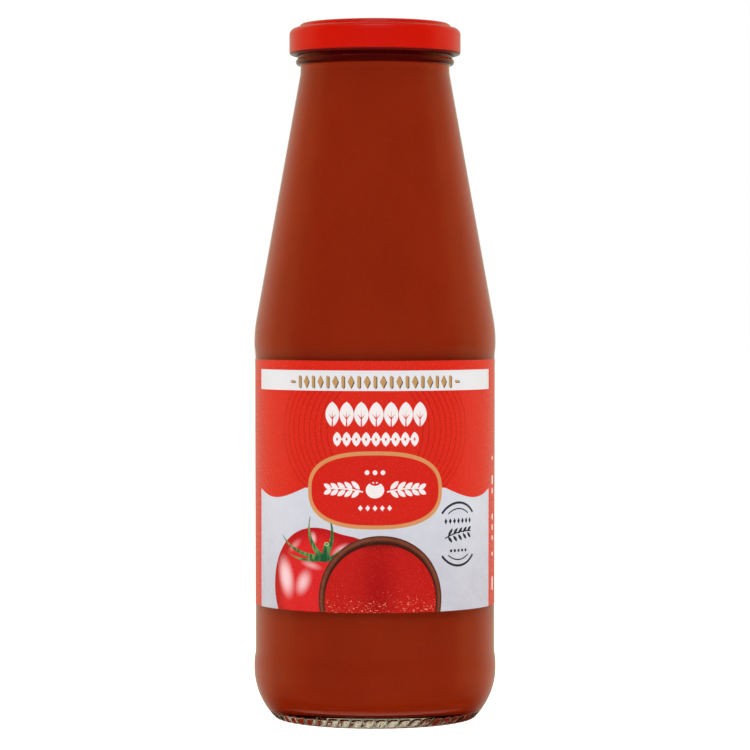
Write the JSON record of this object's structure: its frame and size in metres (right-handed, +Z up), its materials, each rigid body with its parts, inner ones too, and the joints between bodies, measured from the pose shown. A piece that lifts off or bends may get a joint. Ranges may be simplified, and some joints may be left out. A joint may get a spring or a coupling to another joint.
{
  "type": "passata bottle",
  "caption": "Clear glass bottle of tomato passata with a long conical neck, a red twist-off metal lid and a red and white wrap-round paper label.",
  "frame": {"origin": "centre of the base ring, on the ground", "axes": "+Z up along the bottle's axis, -Y out of the label's front, +X to the right seen from the front"},
  "size_m": [0.0786, 0.0786, 0.2257],
  "materials": {
    "glass": "clear flint glass, smooth, with a slight green tint where it is thick",
    "passata": "smooth opaque tomato puree, wetting the glass",
    "label_paper": "coated paper printed in red, white and grey, slightly glossy",
    "seal": "soft cream sealing compound",
    "lid_lacquer": "glossy red lacquer on tinplate"
  },
  "bodies": {
    "root": {"bottle": "glass", "passata": "passata", "label": "label_paper", "lid_seal": "seal", "lid": "lid_lacquer"}
  },
  "joints": []
}
